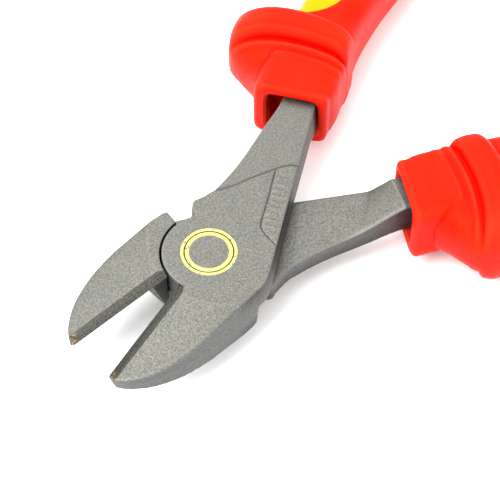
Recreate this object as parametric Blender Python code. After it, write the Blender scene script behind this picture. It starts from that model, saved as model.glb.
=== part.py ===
"""Insulated diagonal cutting pliers: two lapped forgings, a flush rivet and two-part grips.

Lengths are in millimetres here and become metres when a mesh is made.  The tool lies flat with
its jaws toward +X.  The rivet's axis is Z.  Every object's own origin is on that axis in the
middle of the joint, and all of them are placed so that the joint's rear face is at Z = 0.  The
rest pose has the jaws open by 2 x 9 degrees; each half's outline below is drawn in that pose.
The lower half is the upper half turned half a turn about X, apart from its cutting edge.
"""
import math

import bmesh
import bpy
from mathutils import Matrix, Vector

MM = 0.001

# joint
JOINT_H = 5.8          # half thickness of the joint, centre plane to outer face
LAP_GAP = 0.15         # each half stops this far from the centre plane
DISC_R = 9.6           # round end of each half in the lap
RECESS_R = 10.1        # round pocket in the other half
RIVET_R = 5.0
RIVET_HOLE_R = 5.08
ROUND = 96             # segments of round parts at the joint

# jaws
CREASE_C = (-3.5, 1.0)     # axis of the cone that slopes the jaw faces
CREASE_R = 14.4
FACE_SLOPE, BACK_SLOPE = 0.24, 0.15     # fall per millimetre on the bevel's side and behind it
CONE_REACH, CONE_CLEAR = 42.0, 9.0      # how far the face cutters reach out and above
EDGE_ROOT = (9.0, 1.44)
EDGE_TIP = (31.9, 5.05)
EDGE_START = 12.0                  # the straight cutting edge is measured from here
BEVEL_W, BEVEL_D = 1.8, 0.85
BEVEL_SPAN, BEVEL_REACH = (7.0, 40.0), (-1.0, 3.0)      # cutter's size along and across the edge
CLEAR_Z = 9.5                      # height that clears the jaw
RELIEF_ANGLE = math.radians(33)
RELIEF_REACH = 3.0                 # the relief cutter stands out this far past the edge
WEB_TOP, WEB_FOOT = 13.3, 9.2      # where the rear relief ends, along X
JAW_BACK = [(31.5, 6.6), (30.2, 8.4), (28.4, 9.9), (25.5, 11.6), (22.5, 12.7), (19.0, 13.5),
            (15.5, 13.9), (9.5, 14.0), (4.5, 13.9), (0.0, 13.6), (-0.7, 13.4), (-0.3, 11.2),
            (0.0, 7.0)]

# shanks, from the pocket to the collar
SHANK = [(5.0, 13.9), (0.0, 13.6), (-3.0, 13.25), (-3.9, 12.9), (-10.7, 8.5), (-22.8, 0.5),
         (-42.1, -12.1), (-42.6, -12.6), (-39.2, -18.8), (-38.8, -18.5), (-29.6, -15.4),
         (-20.2, -12.4), (-14.5, -11.2), (-11.5, -10.8), (-9.3, -10.9), (-7.8, -11.2),
         (-6.9, -11.5), (-6.2, -11.4), (-5.4, -10.8), (-4.7, -9.9), (-4.2, -8.6), (0.0, 0.0)]
PAD_STEP = 0.45
PAD_LINE = [(-8.6, -13.5), (-10.1, -11.1), (-14.6, -8.9), (-19.2, -7.5), (-23.7, -6.0),
            (-25.7, -5.2), (-27.2, -4.3), (-28.0, -3.0), (-27.6, -1.4), (-26.4, 1.4)]
UNDER_CREASE = [(-37.6, -8.0), (-19.5, -15.0)]
UNDER_SLOPE = -0.36    # the underside falls this much per millimetre toward the collar
UNDER_REACH = 30.0     # size of the cutters that clear the underside
PANEL = [(-24.6, -4.5), (-23.5, -5.3), (-18.0, -1.4), (-13.9, 1.2), (-12.3, 2.3), (-11.7, 3.4),
         (-11.6, 5.6), (-12.6, 6.2), (-22.4, -0.3), (-25.6, -2.5)]
PANEL_DEPTH = 0.25
CLEAR = 2.0            # cutters stand out this far past the surfaces they cut
STEP_CLEAR = [(-60.0, 10.0), (-60.0, -40.0), (-8.6, -40.0)]     # outside corners of the step cutter

# handles: centre line starts at the collar's front
COLLAR_C = (-40.5, -17.0)
HEADING = [(-12, 31.0), (12, 31.0), (24, 24.0), (40, 15.0), (70, 11.5), (125, 6.0)]
PATH_START, PATH_STEP = -12.0, 0.5
GRIP_START, GRIP_LEN = -1.0, 112.0
TANG_START, TANG_LEN = -2.0, 92.0
SLEEVE_START, SLEEVE_LEN = 6.0, 106.0
FIT = 0.3              # gap between touching pieces
GRIP_COUNT, CORE_COUNT, TANG_COUNT = 40, 32, 20     # points round a section

# body of the grip: s, outer, inner, top, under, squareness inside and outside
GRIP = [(-1.0, 8.8, 7.6, 8.0, 7.5, 7.0, 8.0), (1.0, 8.8, 7.7, 8.0, 7.5, 6.0, 7.5),
        (3.0, 8.7, 8.4, 8.1, 7.6, 5.4, 6.5), (5.0, 8.7, 8.9, 8.1, 7.6, 5.2, 6.0),
        (8.0, 8.7, 9.0, 8.1, 7.7, 5.2, 5.4), (9.4, 8.7, 9.0, 8.4, 8.1, 5.2, 5.2),
        (10.6, 8.7, 9.0, 8.1, 7.8, 5.2, 5.2), (11.7, 8.6, 9.0, 8.7, 8.4, 5.2, 5.2),
        (12.8, 8.5, 9.0, 8.1, 7.8, 5.2, 5.0), (14.5, 8.0, 9.0, 8.5, 8.3, 5.0, 4.6),
        (20.5, 7.0, 8.9, 8.5, 8.4, 4.6, 3.8), (24.0, 6.3, 8.8, 8.4, 8.4, 4.2, 3.4),
        (27.0, 6.3, 8.8, 8.4, 8.4, 4.0, 3.3), (31.0, 6.9, 8.9, 8.6, 8.6, 3.8, 3.2),
        (40.0, 8.0, 9.0, 8.9, 8.9, 3.4, 3.0), (60.0, 9.4, 9.4, 9.5, 9.5, 2.9, 2.9),
        (80.0, 9.2, 9.2, 9.2, 9.2, 2.9, 2.9), (100.0, 8.4, 8.4, 8.3, 8.3, 2.8, 2.8),
        (108.0, 7.6, 7.6, 7.4, 7.4, 2.7, 2.7), (110.6, 6.2, 6.2, 6.0, 6.0, 2.5, 2.5),
        (111.6, 4.4, 4.4, 4.2, 4.2, 2.3, 2.3), (112.0, 2.4, 2.4, 2.2, 2.2, 2.2, 2.2)]
# guard round that body, in the same columns
GUARD = [(1.0, 6.0, 6.0, 6.0, 6.0, 3.0, 3.0), (3.0, 8.4, 6.6, 7.0, 6.8, 3.4, 3.0),
         (5.0, 10.4, 7.2, 7.4, 7.4, 4.0, 2.9), (7.0, 12.2, 8.0, 7.6, 7.7, 4.6, 2.8),
         (8.5, 13.8, 8.6, 7.8, 7.9, 5.0, 2.8), (10.4, 15.6, 8.9, 7.9, 7.9, 5.0, 2.9),
         (11.7, 16.6, 9.0, 8.6, 8.5, 5.0, 3.0), (12.7, 17.2, 9.0, 8.3, 8.1, 5.0, 3.2),
         (13.5, 17.5, 9.1, 10.2, 9.9, 5.0, 3.4), (14.2, 17.7, 9.2, 11.0, 10.6, 5.0, 3.6),
         (16.4, 18.0, 9.2, 11.6, 11.2, 5.0, 3.8), (18.4, 17.9, 9.2, 11.4, 11.0, 5.0, 3.8),
         (19.4, 17.0, 9.1, 10.8, 10.4, 4.8, 3.6), (20.2, 13.8, 8.6, 9.2, 9.0, 4.4, 3.2),
         (21.0, 9.4, 7.6, 7.8, 7.8, 4.0, 3.0), (22.0, 6.0, 6.0, 6.0, 6.0, 3.0, 3.0)]
ROLL = math.radians(5)          # the grips are rolled about their own centre line
BOW, BOW_MID = 0.0125, 4.0      # the guard's sections bow toward the jaws at both sides
BOW_FADE = [(6.0, 0.0), (9.0, 1.0), (24.0, 1.0), (40.0, 0.0)]
RIM = [(0.0, 0.8), (0.3, 0.25), (0.9, 0.0)]     # rounded front rim: distance back, inset
# tang section: s, half width, middle offset across, top, under
TANG = [(-2.0, 3.2, -1.4, 5.0, -2.0), (0.5, 3.3, -1.5, 5.0, -2.8), (6.0, 3.3, -1.4, 4.2, -3.2),
        (14.0, 3.2, -1.0, 3.4, -3.2), (30.0, 3.2, -0.8, 3.0, -3.0), (70.0, 3.2, 0.0, 2.8, -2.8),
        (90.0, 2.6, 0.0, 2.5, -2.5), (92.0, 1.6, 0.0, 1.5, -1.5)]
# collar's mouth, in the same columns
MOUTH = [(-3.0, 6.4, 0.0, 6.7, -6.4), (-1.3, 6.4, 0.0, 6.7, -6.4), (-0.4, 6.1, 0.0, 6.4, -6.1),
         (5.2, 5.9, -0.1, 6.2, -5.9)]
BOX_POWER = 7.0                 # squareness of the tang and the mouth
THROAT, THROAT_GAP = (4.0, 6.5, 8.0), 0.45      # passage for the tang behind the mouth
WINDOW = (19.6, 96.0)          # start and end of the yellow window along the handle
WINDOW_IN = -3.8               # its inner border, across the handle
WINDOW_OUT = 12.0              # where its ends reach, across the handle
WINDOW_POWER = 8.0             # how square its ends are
WINDOW_CLEAR, WINDOW_HALF = 26.0, 16.0     # the window's cutter clears the handle
PAD_START, PAD_END = 18.0, 108.0
WALL = 2.4                     # thickness of the outer moulding over the sleeve

COLLECTION = "diagonal_cutting_pliers"
SHARP = math.radians(30)       # faces that meet at less than this are shaded smooth


# ---------------------------------------------------------------- scene and materials
def clear_scene():
    for ob in list(bpy.data.objects):
        bpy.data.objects.remove(ob, do_unlink=True)


def collection(name):
    col = bpy.data.collections.new(name)
    bpy.context.scene.collection.children.link(col)
    return col


def material(name, colour, roughness, metallic):
    mat = bpy.data.materials.new(name)
    mat.use_nodes = True
    shader = mat.node_tree.nodes["Principled BSDF"]
    shader.inputs["Base Color"].default_value = (*colour, 1.0)
    shader.inputs["Roughness"].default_value = roughness
    shader.inputs["Metallic"].default_value = metallic
    mat.diffuse_color = (*colour, 1.0)
    return mat


def add_object(name, mesh, col):
    ob = bpy.data.objects.new(name, mesh)
    col.objects.link(ob)
    return ob


def cutter_object(name, mesh):
    ob = add_object(name, mesh, CUTTERS)
    ob.display_type = "WIRE"
    ob.hide_render = True
    return ob


# ---------------------------------------------------------------- shape helpers
def prism_mesh(name, points, low, high):
    """A closed plan outline, filled and extruded from low to high."""
    curve = bpy.data.curves.new(name, "CURVE")
    curve.dimensions = "2D"
    curve.fill_mode = "BOTH"
    curve.extrude = (high - low) * 0.5 * MM
    spline = curve.splines.new("POLY")
    spline.points.add(len(points) - 1)
    for point, (x, y) in zip(spline.points, points):
        point.co = (x * MM, y * MM, 0.0, 1.0)
    spline.use_cyclic_u = True
    ob = add_object(name + "_curve", curve, CUTTERS)
    mesh = bpy.data.meshes.new_from_object(ob)
    bpy.data.objects.remove(ob, do_unlink=True)
    bpy.data.curves.remove(curve)
    bm = bmesh.new()
    bm.from_mesh(mesh)
    bmesh.ops.remove_doubles(bm, verts=bm.verts, dist=1e-6)
    bmesh.ops.translate(bm, verts=bm.verts, vec=(0.0, 0.0, (high + low) * 0.5 * MM))
    bmesh.ops.recalc_face_normals(bm, faces=bm.faces)
    bm.to_mesh(mesh)
    bm.free()
    mesh.name = name
    return mesh


def cylinder_mesh(name, radius, low, high):
    middle = Matrix.Translation((0.0, 0.0, (high + low) * 0.5 * MM))
    bm = bmesh.new()
    bmesh.ops.create_cone(bm, cap_ends=True, segments=ROUND, radius1=radius * MM,
                          radius2=radius * MM, depth=(high - low) * MM, matrix=middle)
    mesh = bpy.data.meshes.new(name)
    bm.to_mesh(mesh)
    bm.free()
    return mesh


def hull_mesh(name, points):
    """The convex solid over a few corner points."""
    bm = bmesh.new()
    verts = [bm.verts.new(Vector(p) * MM) for p in points]
    bmesh.ops.convex_hull(bm, input=verts)
    bmesh.ops.recalc_face_normals(bm, faces=bm.faces)
    mesh = bpy.data.meshes.new(name)
    bm.to_mesh(mesh)
    bm.free()
    return mesh


def cone_cutter(name, side, slope):
    """Solid of revolution above (side 1) or below (side -1) the sloping jaw face."""
    far, high = CREASE_R + CONE_REACH, JOINT_H + CONE_CLEAR
    profile = [(CREASE_R, JOINT_H), (far, JOINT_H - slope * CONE_REACH), (far, high),
               (CREASE_R, high)]
    bm = bmesh.new()
    verts = [bm.verts.new(Vector((x, 0.0, z)) * MM) for x, z in profile]
    loop = verts + [verts[0]]
    edges = [bm.edges.new(pair) for pair in zip(loop[:-1], loop[1:])]
    bmesh.ops.spin(bm, geom=verts + edges, cent=(0, 0, 0), axis=(0, 0, 1),
                   angle=math.tau, steps=ROUND * 2, use_merge=True)
    bmesh.ops.remove_doubles(bm, verts=bm.verts, dist=1e-7)
    if side < 0:
        bmesh.ops.scale(bm, verts=bm.verts, vec=(1, 1, -1))
    bmesh.ops.translate(bm, verts=bm.verts, vec=(CREASE_C[0] * MM, CREASE_C[1] * MM, 0.0))
    bmesh.ops.recalc_face_normals(bm, faces=bm.faces)
    mesh = bpy.data.meshes.new(name)
    bm.to_mesh(mesh)
    bm.free()
    return mesh


def boolean(ob, operation, tool):
    mod = ob.modifiers.new(tool.name, "BOOLEAN")
    mod.operation = operation
    mod.solver = "EXACT"
    mod.object = tool


def settle(ob):
    """Replace an object's mesh by what its modifiers make of it."""
    graph = bpy.context.evaluated_depsgraph_get()
    graph.update()
    mesh = bpy.data.meshes.new_from_object(ob.evaluated_get(graph))
    ob.modifiers.clear()
    ob.data = mesh
    bm = bmesh.new()
    bm.from_mesh(mesh)
    bmesh.ops.remove_doubles(bm, verts=bm.verts, dist=2e-6)
    bmesh.ops.dissolve_degenerate(bm, edges=bm.edges, dist=2e-6)
    bm.to_mesh(mesh)
    bm.free()


def finish(body, mat):
    """Settle a finished piece, give it its material and shade its round parts smooth."""
    settle(body)
    body.data.materials.clear()
    body.data.materials.append(mat)
    body.data.shade_smooth()
    body.data.set_sharp_from_angle(angle=SHARP)


def at(table, s, column):
    """Value of a table's column at distance s, on a smooth curve that never overshoots."""
    last = len(table) - 1
    s = min(max(s, table[0][0]), table[last][0])
    i = next(k for k in range(last) if s <= table[k + 1][0])

    def slope(k):
        return (table[k + 1][column] - table[k][column]) / (table[k + 1][0] - table[k][0])

    def tangent(k):
        if k in (0, last):
            return 0.0
        before, after = slope(k - 1), slope(k)
        return 0.0 if before * after <= 0.0 else 2.0 * before * after / (before + after)

    width = table[i + 1][0] - table[i][0]
    t = (s - table[i][0]) / width
    rise = t * t * (3.0 - 2.0 * t)
    return (table[i][column] * (1.0 - rise) + table[i + 1][column] * rise
            + width * t * (1.0 - t) * ((1.0 - t) * tangent(i) - t * tangent(i + 1)))


# ---------------------------------------------------------------- handle path and sections
def make_path():
    """Points and headings of the handle's centre line, every half millimetre."""
    def heading(s):
        for a, b in zip(HEADING[:-1], HEADING[1:]):
            if s <= b[0]:
                return math.radians(a[1] + (b[1] - a[1]) * (s - a[0]) / (b[0] - a[0]))
        return math.radians(HEADING[-1][1])

    x, y = COLLAR_C
    x -= PATH_START * math.cos(heading(0))
    y -= PATH_START * math.sin(heading(0))
    path, s = [], PATH_START
    while s < GRIP_LEN + 6.0:
        path.append((x, y, heading(s)))
        mid = heading(s + PATH_STEP * 0.5)
        x -= math.cos(mid) * PATH_STEP
        y -= math.sin(mid) * PATH_STEP
        s += PATH_STEP
    return path


def frame_at(s):
    k = (s - PATH_START) / PATH_STEP
    i = max(0, min(len(PATH) - 2, int(math.floor(k))))
    t = k - i
    a, b = PATH[i], PATH[i + 1]
    return [a[j] + (b[j] - a[j]) * t for j in range(3)]


def place(s, across, z):
    """A point at distance s, across the handle (outward positive) and height z."""
    x, y, h = frame_at(s)
    return (x + math.sin(h) * across, y - math.cos(h) * across, z)


def reach(table, s, angle, inset):
    """Distance from the centre line to a superellipse of the table, in an angle's direction."""
    outer, inner, top, under = (at(table, s, k) - inset for k in range(1, 5))
    c, q = math.cos(angle), math.sin(angle)
    power = at(table, s, 6 if c > 0 else 5)
    across = abs(c) / (outer if c > 0 else inner)
    height = abs(q) / (top if q > 0 else under)
    return (across ** power + height ** power) ** (-1.0 / power)


def rolled(s, across, z):
    """A point of the grip, turned by the grip's roll about the centre line."""
    return place(s, across * math.cos(ROLL) - z * math.sin(ROLL),
                 across * math.sin(ROLL) + z * math.cos(ROLL))


def grip_section(s, count, inset=0.0):
    """Ring round the handle: its body, with the guard round it where the guard is larger."""
    in_guard = GUARD[0][0] < s < GUARD[-1][0]
    ring = []
    for k in range(count):
        angle = math.tau * (k + 0.5) / count
        radius = reach(GRIP, s, angle, inset)
        if in_guard:
            radius = max(radius, reach(GUARD, s, angle, inset))
        across = radius * math.cos(angle)
        lean = BOW * (across - BOW_MID) ** 2 * at(BOW_FADE, s, 1)
        ring.append(rolled(s - lean, across, radius * math.sin(angle)))
    return ring


def box_section(table, s, grow=0.0, turn=place):
    """Ring of a table with rounded rectangular sections: the tang or the collar's mouth."""
    half, shift, top, under = (at(table, s, k) for k in range(1, 5))
    mid, high = (top + under) * 0.5, (top - under) * 0.5
    ring = []
    for k in range(TANG_COUNT):
        angle = math.tau * (k + 0.5) / TANG_COUNT
        c, q = (math.copysign(abs(f(angle)) ** (2.0 / BOX_POWER), f(angle))
                for f in (math.cos, math.sin))
        ring.append(turn(s, shift + c * (half + grow), mid + q * (high + grow)))
    return ring


def loft_mesh(name, sections):
    """Skin over rings of equal count, closed by a flat face at each end."""
    bm = bmesh.new()
    rings = [[bm.verts.new(Vector(p) * MM) for p in ring] for ring in sections]
    count = len(rings[0])
    for a, b in zip(rings[:-1], rings[1:]):
        for k in range(count):
            j = (k + 1) % count
            bm.faces.new((a[k], a[j], b[j], b[k]))
    bm.faces.new(rings[0])
    bm.faces.new(rings[-1])
    bmesh.ops.recalc_face_normals(bm, faces=bm.faces)
    mesh = bpy.data.meshes.new(name)
    bm.to_mesh(mesh)
    bm.free()
    return mesh


def stations(table, low, high, step):
    """Distances at the table's own rows and between them."""
    marks = {low, high} | {row[0] for row in table if low < row[0] < high}
    marks = sorted(marks)
    out = []
    for a, b in zip(marks[:-1], marks[1:]):
        parts = max(1, round((b - a) / step))
        out += [a + (b - a) * i / parts for i in range(parts)]
    return out + [marks[-1]]


# ---------------------------------------------------------------- forgings
def edge_y(x):
    (x0, y0), (x1, y1) = EDGE_ROOT, EDGE_TIP
    return y0 + (y1 - y0) * (x - x0) / (x1 - x0)


def face_z(x, y):
    """Height of the sloping jaw face at a plan point."""
    r = math.hypot(x - CREASE_C[0], y - CREASE_C[1])
    return JOINT_H - FACE_SLOPE * max(0.0, r - CREASE_R)


def bevel_cutter(name, front):
    """Wedge over the front bevel.  front is +1 where the bevel is on the +Z face."""
    slope = (EDGE_TIP[1] - EDGE_ROOT[1]) / (EDGE_TIP[0] - EDGE_ROOT[0])
    points = []
    for x in BEVEL_SPAN:
        y, z = edge_y(x), edge_height(x)
        for d in BEVEL_REACH:
            points.append((x - slope * d, y + d, (z + BEVEL_D / BEVEL_W * d) * front))
            points.append((x, y + d, CLEAR_Z * front))
    return hull_mesh(name, points)


def edge_height(x):
    """The cutting edge is a straight line that falls with the face toward the tip."""
    x0, x1 = EDGE_START, EDGE_TIP[0]
    z0 = face_z(x0, edge_y(x0) + BEVEL_W) - BEVEL_D
    z1 = face_z(x1, edge_y(x1) + BEVEL_W) - BEVEL_D
    return z0 + (z1 - z0) * (x - x0) / (x1 - x0)


def relief_cutter(name, front):
    """Undercut behind the cutting edge; it ends in a sloping web near the pivot."""
    points = []
    for x_top, x_low in ((WEB_TOP, WEB_FOOT), (BEVEL_SPAN[1], BEVEL_SPAN[1])):
        z = edge_height(x_top)
        deep = z + CLEAR_Z
        points.append((x_top, edge_y(x_top), z * front))
        points.append((x_top, edge_y(x_top) - RELIEF_REACH, z * front))
        points.append((x_low, edge_y(x_low) - RELIEF_REACH, (z - deep) * front))
        points.append((x_low, edge_y(x_low) + deep * math.tan(RELIEF_ANGLE), (z - deep) * front))
    return hull_mesh(name, points)


def under_cutter(name, far):
    """Clears the shank's underside: flat toward the pivot, and a ramp toward the collar."""
    a, b = (Vector((x, y)) for x, y in UNDER_CREASE)
    along = (b - a).normalized() * UNDER_REACH
    back = Vector((along.y, -along.x)).normalized()
    points = []
    for corner in (a - along, b + along):
        for d in (0.0, far):
            top = LAP_GAP + UNDER_SLOPE * max(0.0, d)
            spot = corner + back * d
            points += [(spot.x, spot.y, top), (spot.x, spot.y, -UNDER_REACH)]
    return hull_mesh(name, points)


def build_jaw(name, front):
    """Jaw with sloping faces, a bevel on the front, a relief behind it and the round pocket."""
    plan = [EDGE_ROOT, EDGE_TIP] + JAW_BACK
    jaw = cutter_object(name, prism_mesh(name, plan, -JOINT_H, JOINT_H))
    for side in (1, -1):
        slope = FACE_SLOPE if side == front else BACK_SLOPE
        cut_name = "%s_slope_%d" % (name, side)
        boolean(jaw, "DIFFERENCE", cutter_object(cut_name, cone_cutter(cut_name, side, slope)))
    boolean(jaw, "DIFFERENCE", cutter_object(name + "_bevel", bevel_cutter(name + "_bevel", front)))
    relief = relief_cutter(name + "_relief", front)
    boolean(jaw, "DIFFERENCE", cutter_object(name + "_relief", relief))
    pocket = cylinder_mesh(name + "_pocket", RECESS_R, -JOINT_H - CLEAR, LAP_GAP)
    boolean(jaw, "DIFFERENCE", cutter_object(name + "_pocket", pocket))
    settle(jaw)
    return jaw


def build_shank(name):
    """Shank with a step down behind the joint, a sloping underside and a shallow panel."""
    top = JOINT_H + CLEAR
    shank = cutter_object(name, prism_mesh(name, SHANK, -JOINT_H, JOINT_H))
    step = prism_mesh(name + "_step", PAD_LINE + STEP_CLEAR, JOINT_H - PAD_STEP, top)
    boolean(shank, "DIFFERENCE", cutter_object(name + "_step", step))
    for part, far in (("_under", -2.0 * UNDER_REACH), ("_ramp", UNDER_REACH)):
        boolean(shank, "DIFFERENCE", cutter_object(name + part, under_cutter(name + part, far)))
    panel = prism_mesh(name + "_panel", PANEL, JOINT_H - PANEL_DEPTH, top)
    boolean(shank, "DIFFERENCE", cutter_object(name + "_panel", panel))
    settle(shank)
    return shank


def build_forging(name, mat, front):
    """One half: jaw, lap disc, shank and tang as a single forged body.

    It is modelled as the half whose lap is on +Z.  front says which face carries the bevel.
    """
    jaw = build_jaw(name + "_jaw", front)
    shank = build_shank(name + "_shank")
    rings = [box_section(TANG, s) for s in stations(TANG, TANG_START, TANG_LEN, 9.0)]
    tang = cutter_object(name + "_tang", loft_mesh(name + "_tang", rings))
    hole = cylinder_mesh(name + "_hole", RIVET_HOLE_R, -CLEAR_Z, CLEAR_Z)
    body = add_object(name, cylinder_mesh(name, DISC_R, LAP_GAP, JOINT_H), PARTS)
    for piece in (shank, jaw, tang):
        boolean(body, "UNION", piece)
    boolean(body, "DIFFERENCE", cutter_object(name + "_hole", hole))
    finish(body, mat)
    return body


# ---------------------------------------------------------------- rivet and grips
def build_rivet(mat):
    body = add_object("pivot_rivet", cylinder_mesh("pivot_rivet", RIVET_R, -JOINT_H, JOINT_H), PARTS)
    finish(body, mat)


def window_mesh(name, gap):
    """Prism over the yellow window: it covers the handle's outer side from top to underside."""
    low, high = WINDOW
    steps = 36
    border = []
    for k in range(steps + 1):
        t = 0.5 - 0.5 * math.cos(math.pi * k / steps)
        rise = (1.0 - abs(2.0 * t - 1.0) ** WINDOW_POWER) ** 0.5
        border.append((low + (high - low) * t, WINDOW_OUT + (WINDOW_IN - WINDOW_OUT) * rise))
    inner = []
    for k, (s, across) in enumerate(border):
        a, b = border[max(0, k - 1)], border[min(steps, k + 1)]
        run = Vector((b[0] - a[0], b[1] - a[1])).normalized()
        inner.append(place(s - run.y * gap, across + run.x * gap, 0.0)[:2])
    outer = [place(s, WINDOW_CLEAR, 0.0)[:2] for s in (high - gap, (high + low) * 0.5, low + gap)]
    return prism_mesh(name, inner + outer, -WINDOW_HALF, WINDOW_HALF)


def build_grip(name, mat):
    """Outer moulding: collar, guard and handle round the sleeve."""
    rings = [grip_section(GRIP_START + back, GRIP_COUNT, inset) for back, inset in RIM]
    marks = stations(GRIP + GUARD, GRIP_START + 2.0, GRIP_LEN, 5.0)
    rings += [grip_section(s, GRIP_COUNT) for s in marks]
    body = add_object(name, loft_mesh(name, rings), PARTS)
    marks = stations(GRIP, SLEEVE_START, SLEEVE_LEN, 6.0)
    marks = [SLEEVE_START - FIT] + marks + [SLEEVE_LEN + FIT]
    core = [grip_section(s, CORE_COUNT, WALL - FIT) for s in marks]
    mouth = [box_section(MOUTH, row[0], 0.0, rolled) for row in MOUTH]
    throat = [box_section(TANG, s, THROAT_GAP) for s in THROAT]
    for part, sections in (("_core", core), ("_mouth", mouth), ("_throat", throat)):
        boolean(body, "DIFFERENCE", cutter_object(name + part, loft_mesh(name + part, sections)))
    window = window_mesh(name + "_window", 0.0)
    boolean(body, "DIFFERENCE", cutter_object(name + "_window", window))
    finish(body, mat)
    return body


def build_sleeve(name, mat):
    """Inner moulding: a tube over the tang whose raised pad fills the window."""
    core = [grip_section(s, CORE_COUNT, WALL) for s in stations(GRIP, SLEEVE_START, SLEEVE_LEN, 6.0)]
    body = add_object(name, loft_mesh(name, core), PARTS)
    rings = [grip_section(s, GRIP_COUNT) for s in stations(GRIP, PAD_START, PAD_END, 5.0)]
    pad = cutter_object(name + "_pad", loft_mesh(name + "_pad", rings))
    boolean(pad, "INTERSECT", cutter_object(name + "_edge", window_mesh(name + "_edge", FIT)))
    settle(pad)
    boolean(body, "UNION", pad)
    bore = [box_section(TANG, s, FIT) for s in stations(TANG, TANG_START, TANG_LEN, 9.0)]
    bore.append(box_section(TANG, TANG_LEN + FIT, FIT))
    boolean(body, "DIFFERENCE", cutter_object(name + "_bore", loft_mesh(name + "_bore", bore)))
    finish(body, mat)
    return body


def turn_over(ob):
    """Half a turn about X, put into the mesh."""
    ob.data.transform(Matrix.Rotation(math.pi, 4, "X"))


clear_scene()
PARTS = collection(COLLECTION)
CUTTERS = collection("cutters")
PATH = make_path()

STEEL = material("blasted_steel", (0.42, 0.43, 0.41), 0.5, 0.9)
RIVET = material("rivet_steel", (0.46, 0.46, 0.44), 0.45, 0.9)
RED = material("red_moulding", (0.85, 0.06, 0.01), 0.35, 0.0)
YELLOW = material("yellow_moulding", (0.95, 0.72, 0.0), 0.4, 0.0)

upper = build_forging("upper_half", STEEL, 1)
lower = build_forging("lower_half", STEEL, -1)
turn_over(lower)
build_rivet(RIVET)
for side in ("upper", "lower"):
    sleeve = build_sleeve("sleeve_" + side, YELLOW)
    grip = build_grip("grip_" + side, RED)
    if side == "lower":
        turn_over(sleeve)
        turn_over(grip)
for ob in PARTS.objects:
    ob.location.z = JOINT_H * MM
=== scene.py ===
"""Looks of the insulated diagonal cutting pliers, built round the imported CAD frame.

Shapes are modelled in millimetres with the joint's middle at the origin, then scaled to metres
and lifted to where the frame holds the joint.  The tool lies flat with its jaws toward +X.  The
lower half is the upper half turned half a turn about X, apart from its cutting edge.
"""
import math

import bmesh
import bpy
import numpy as np
from mathutils import Matrix, Vector


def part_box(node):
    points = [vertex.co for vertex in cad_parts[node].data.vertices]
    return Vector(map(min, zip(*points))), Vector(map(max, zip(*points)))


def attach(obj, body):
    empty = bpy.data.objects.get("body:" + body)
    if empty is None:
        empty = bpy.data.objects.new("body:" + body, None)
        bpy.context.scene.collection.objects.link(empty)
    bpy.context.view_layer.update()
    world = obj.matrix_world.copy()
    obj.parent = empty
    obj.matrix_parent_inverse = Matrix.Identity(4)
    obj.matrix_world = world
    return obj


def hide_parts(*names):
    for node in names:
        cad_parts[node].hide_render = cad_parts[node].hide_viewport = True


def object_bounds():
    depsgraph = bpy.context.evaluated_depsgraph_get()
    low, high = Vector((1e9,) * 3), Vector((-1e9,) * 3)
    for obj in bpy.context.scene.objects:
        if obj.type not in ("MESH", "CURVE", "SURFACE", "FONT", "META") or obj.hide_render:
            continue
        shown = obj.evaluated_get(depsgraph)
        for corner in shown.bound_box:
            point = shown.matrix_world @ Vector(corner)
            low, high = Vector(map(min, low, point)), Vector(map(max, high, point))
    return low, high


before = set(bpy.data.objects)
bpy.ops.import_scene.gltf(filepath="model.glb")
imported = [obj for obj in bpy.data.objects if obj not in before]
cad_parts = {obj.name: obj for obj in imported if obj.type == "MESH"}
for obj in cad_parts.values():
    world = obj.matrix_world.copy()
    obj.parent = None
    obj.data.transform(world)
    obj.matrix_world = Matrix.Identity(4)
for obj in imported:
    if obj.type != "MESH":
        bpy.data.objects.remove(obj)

MM = 0.001
CAD_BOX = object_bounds()
RIVET_LOW, RIVET_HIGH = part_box("pivot_rivet")
JOINT_Z = (RIVET_LOW.z + RIVET_HIGH.z) * 0.5
JOINT_H = (RIVET_HIGH.z - RIVET_LOW.z) * 0.5 / MM      # half thickness of the joint
CORNER = 1                                             # marks a sharp point of an outline
SHARP = math.radians(32)                               # flatter edges than this are shaded smooth

# joint
LAP_GAP = 0.15
DISC_R, RECESS_R = 9.6, 10.0
RIVET_R, RIVET_HOLE_R = 5.0, 5.1
ROUND = 160

# jaws
CREASE_C, CREASE_R = (-3.5, 1.0), 14.4
FACE_SLOPE, BACK_SLOPE = 0.24, 0.15
EDGE_ROOT, EDGE_TIP = (9.0, 1.44), (31.9, 5.05)
BEVEL_W, BEVEL_D = 1.8, 0.85
RELIEF_ANGLE = math.radians(33)
WEB_TOP, WEB_FOOT = 13.3, 9.2
JAW = [(9.0, 1.44, CORNER), (31.9, 5.05, CORNER), (31.5, 6.6), (28.4, 9.9), (22.5, 12.7),
       (15.5, 13.95), (9.5, 14.05), (0.0, 13.6), (-0.7, 13.3, CORNER), (0.0, 7.0, CORNER)]

# shanks
SHANK = [(5.0, 13.9, CORNER), (0.0, 13.6), (-3.0, 13.25), (-4.2, 12.7), (-10.7, 8.5),
         (-22.8, 0.5), (-32.0, -5.5), (-42.1, -12.1), (-46.6, -15.0, CORNER),
         (-43.2, -21.2, CORNER), (-38.8, -18.5), (-29.6, -15.4), (-20.2, -12.4), (-14.5, -11.2),
         (-11.5, -10.8), (-9.3, -10.9), (-7.8, -11.2), (-6.9, -11.5), (-6.0, -11.3),
         (-5.0, -10.3), (-4.2, -8.6, CORNER), (0.0, 0.0, CORNER)]
PAD_STEP = 0.45
PAD_LINE = [(-8.6, -13.5), (-10.1, -11.1), (-14.6, -8.9), (-19.2, -7.5), (-23.7, -6.0),
            (-25.7, -5.2), (-27.2, -4.3), (-28.0, -3.0), (-27.6, -1.4), (-26.4, 1.4)]
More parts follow.
